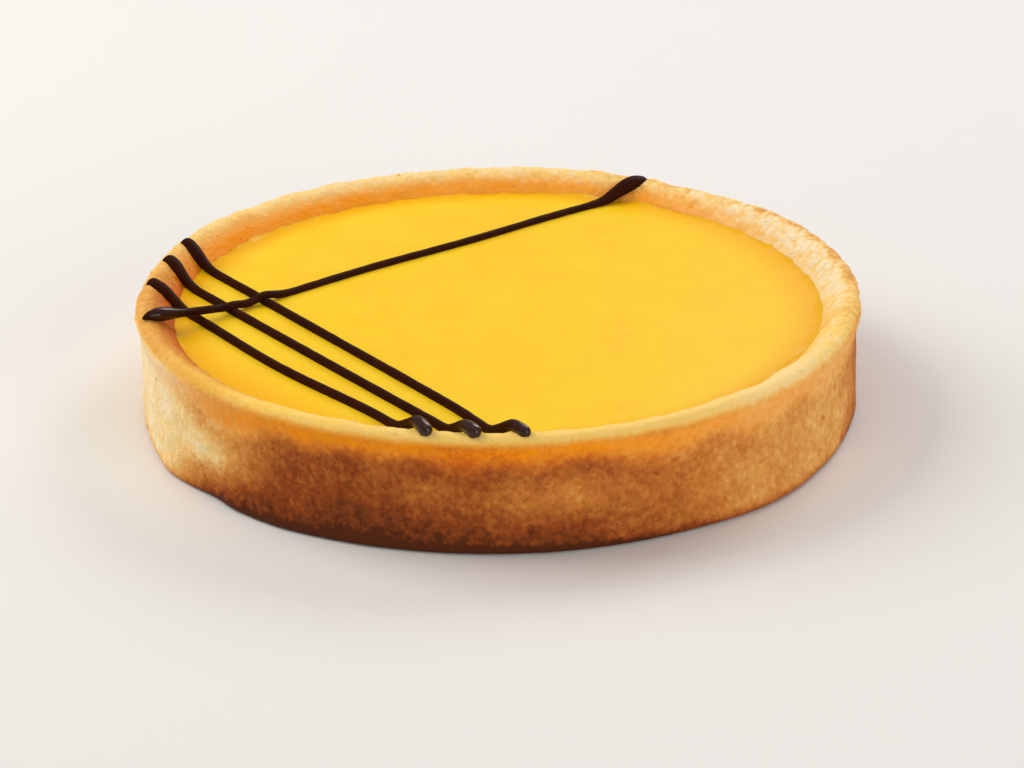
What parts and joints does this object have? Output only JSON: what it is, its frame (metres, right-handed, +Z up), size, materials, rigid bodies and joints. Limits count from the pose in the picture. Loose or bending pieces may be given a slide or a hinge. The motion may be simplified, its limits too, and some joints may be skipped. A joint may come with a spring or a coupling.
{
  "type": "lemon tartlet",
  "caption": "Round shortcrust tartlet with a rounded crumbly rim, a smooth lemon filling and thin chocolate lines piped across its top.",
  "frame": {"origin": "centre of the underside", "axes": "+Z up; -Y is the side where three of the chocolate lines end together, +X to the right seen from there"},
  "size_m": [0.1005, 0.0999, 0.0183],
  "materials": {
    "shortcrust": "baked shortcrust: dry, sandy and porous, golden, darker where it browned and paler on the rim",
    "lemon_filling": "set lemon filling: smooth, opaque, soft sheen, slightly translucent",
    "chocolate": "set dark chocolate piped as thin lines, satin"
  },
  "bodies": {
    "root": {"crust": "shortcrust", "filling": "lemon_filling"}
  },
  "joints": []
}
